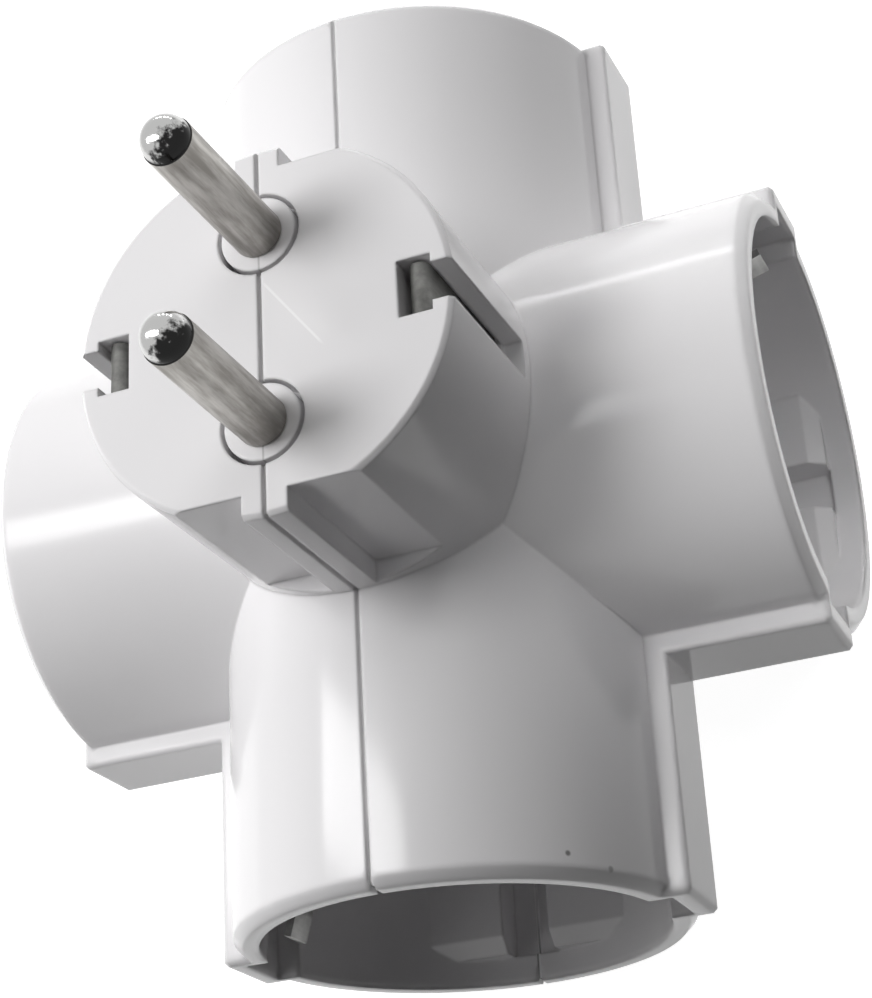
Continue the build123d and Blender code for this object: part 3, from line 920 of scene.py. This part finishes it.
@dataclass(frozen=True)
class Floor:
    """Pale floor that shows white to the camera and keeps the part's shadow."""

    half: float = 0.9
    tone: Colour = (0.34, 0.34, 0.34)
    roughness: float = 0.9
    lift: float = 0.95

    def build(self) -> None:
        """Makes the floor and its material."""
        mesh = bpy.data.meshes.new("floor")
        turns = ((-1, -1), (1, -1), (1, 1), (-1, 1))
        corners = [(x * self.half, y * self.half, 0.0) for x, y in turns]
        mesh.from_pydata(corners, [], [(0, 1, 2, 3)])
        floor = bpy.data.objects.new("floor", mesh)
        bpy.context.scene.collection.objects.link(floor)
        material, graph, surface = new_material("pale_floor")
        surface.inputs["Base Color"].default_value = (*self.tone, 1.0)
        surface.inputs["Roughness"].default_value = self.roughness
        glow = graph.add("ShaderNodeEmission")
        graph.feed(graph.math("MULTIPLY", graph.seen(), self.lift), glow.inputs["Strength"])
        both = graph.add("ShaderNodeAddShader")
        graph.feed(surface.outputs["BSDF"], both.inputs[0])
        graph.feed(glow.outputs[0], both.inputs[1])
        output = next(n for n in graph.tree.nodes if n.type == "OUTPUT_MATERIAL")
        graph.feed(both.outputs[0], output.inputs["Surface"])
        mesh.materials.append(material)


@dataclass(frozen=True)
class Softbox:
    """A rectangular lamp: place and size in metres, power in watts, spread in degrees."""

    name: str
    place: Point
    size: tuple[float, float]
    power: float
    aim: Point = (0.0, 0.0, 0.035)
    lie: Point = (0.0, 1.0, 0.0)
    duty: Duty = Duty.TONE
    spread: float = 180.0

    def build(self) -> None:
        """Adds the lamp, with its width square to the direction lie."""
        data = bpy.data.lights.new(self.name, "AREA")
        data.shape = "RECTANGLE"
        data.size, data.size_y = self.size
        data.energy = self.power
        data.spread = math.radians(self.spread)
        lamp = bpy.data.objects.new(self.name, data)
        back = (Vector(self.place) - Vector(self.aim)).normalized()
        side = Vector(self.lie).cross(back).normalized()
        turn = Matrix((side, back.cross(side), back)).transposed()
        lamp.location = self.place
        lamp.rotation_mode = "QUATERNION"
        lamp.rotation_quaternion = turn.to_quaternion()
        lamp.visible_diffuse = self.duty is Duty.TONE
        lamp.visible_glossy = self.duty is Duty.HIGHLIGHT
        bpy.context.scene.collection.objects.link(lamp)


@dataclass(frozen=True)
class Studio:
    """The lamps, and the white world round them."""

    lamps: tuple[Softbox, ...] = (
        Softbox("left", (-0.30, 0.0, 0.14), (0.18, 0.18), 0.32),
        Softbox("low_left", (-0.25, -0.18, 0.18), (0.18, 0.18), 0.15),
        Softbox(
            "pool",
            (0.115, -0.015, 0.135),
            (0.04, 0.04),
            0.0022,
            aim=(0.044, -0.010, 0.035),
            spread=34.0,
        ),
        Softbox("steep_left", (-0.14, 0.02, 0.36), (0.12, 0.12), 0.60),
        Softbox("top_left", (-0.22, 0.16, 0.25), (0.18, 0.18), 0.28),
        Softbox("top_right", (0.12, 0.20, 0.36), (0.18, 0.18), 0.20),
        Softbox("upper", (0.0, 0.34, 0.20), (0.20, 0.20), 0.24),
        Softbox("far_right", (0.13, 0.24, 0.05), (0.12, 0.08), 0.22, lie=(0.0, 0.0, 1.0)),
        Softbox(
            "window",
            (-0.0545, -0.002, 0.15),
            (0.10, 0.026),
            0.055,
            lie=(0.23, 0.97, 0.0),
            duty=Duty.HIGHLIGHT,
        ),
        Softbox(
            "line",
            (-0.008, 0.204, 0.106),
            (0.16, 0.006),
            0.042,
            lie=(0.0, 0.0, 1.0),
            duty=Duty.HIGHLIGHT,
        ),
    )
    white: Colour = (1.0, 1.0, 1.0)

    def build(self) -> None:
        """Adds the lamps, and a world that is white to the camera and to mirrors only."""
        for lamp in self.lamps:
            lamp.build()
        world = bpy.data.worlds.new("studio")
        world.use_nodes = True
        bpy.context.scene.world = world
        graph = Graph(world.node_tree)
        world.node_tree.nodes.clear()
        output = graph.add("ShaderNodeOutputWorld")
        back = graph.add("ShaderNodeBackground")
        back.inputs["Color"].default_value = (*self.white, 1.0)
        graph.feed(graph.seen(), back.inputs["Strength"])
        graph.feed(back.outputs[0], output.inputs["Surface"])


@dataclass(frozen=True)
class PhotoCamera:
    """Camera at the photograph's viewing angle."""

    place: Point = (0.0784289, -0.1000405, 0.2194092)
    turn: tuple[float, float, float, float] = (0.9567552, 0.2084746, 0.1906090, -0.0694691)
    lens: float = 81.94
    sensor: float = 36.0
    clip: Span = (0.005, 10.0)

    def build(self) -> None:
        """Adds the camera and makes it the scene's."""
        data = bpy.data.cameras.new("camera")
        data.lens = self.lens
        data.sensor_width = self.sensor
        data.sensor_fit = "AUTO"
        data.clip_start, data.clip_end = self.clip
        camera = bpy.data.objects.new("camera", data)
        camera.location = self.place
        camera.rotation_mode = "QUATERNION"
        camera.rotation_quaternion = self.turn
        bpy.context.scene.collection.objects.link(camera)
        bpy.context.scene.camera = camera


def main() -> None:
    """Builds the part's looks, the stage, the light and the camera."""
    logging.basicConfig(level=logging.INFO, format="%(name)s: %(message)s")
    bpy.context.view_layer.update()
    Housing().build()
    Metalwork().build()
    Floor().build()
    Studio().build()
    PhotoCamera().build()
    bpy.context.scene.view_settings.view_transform = "Standard"


if __name__ == "__main__":
    main()
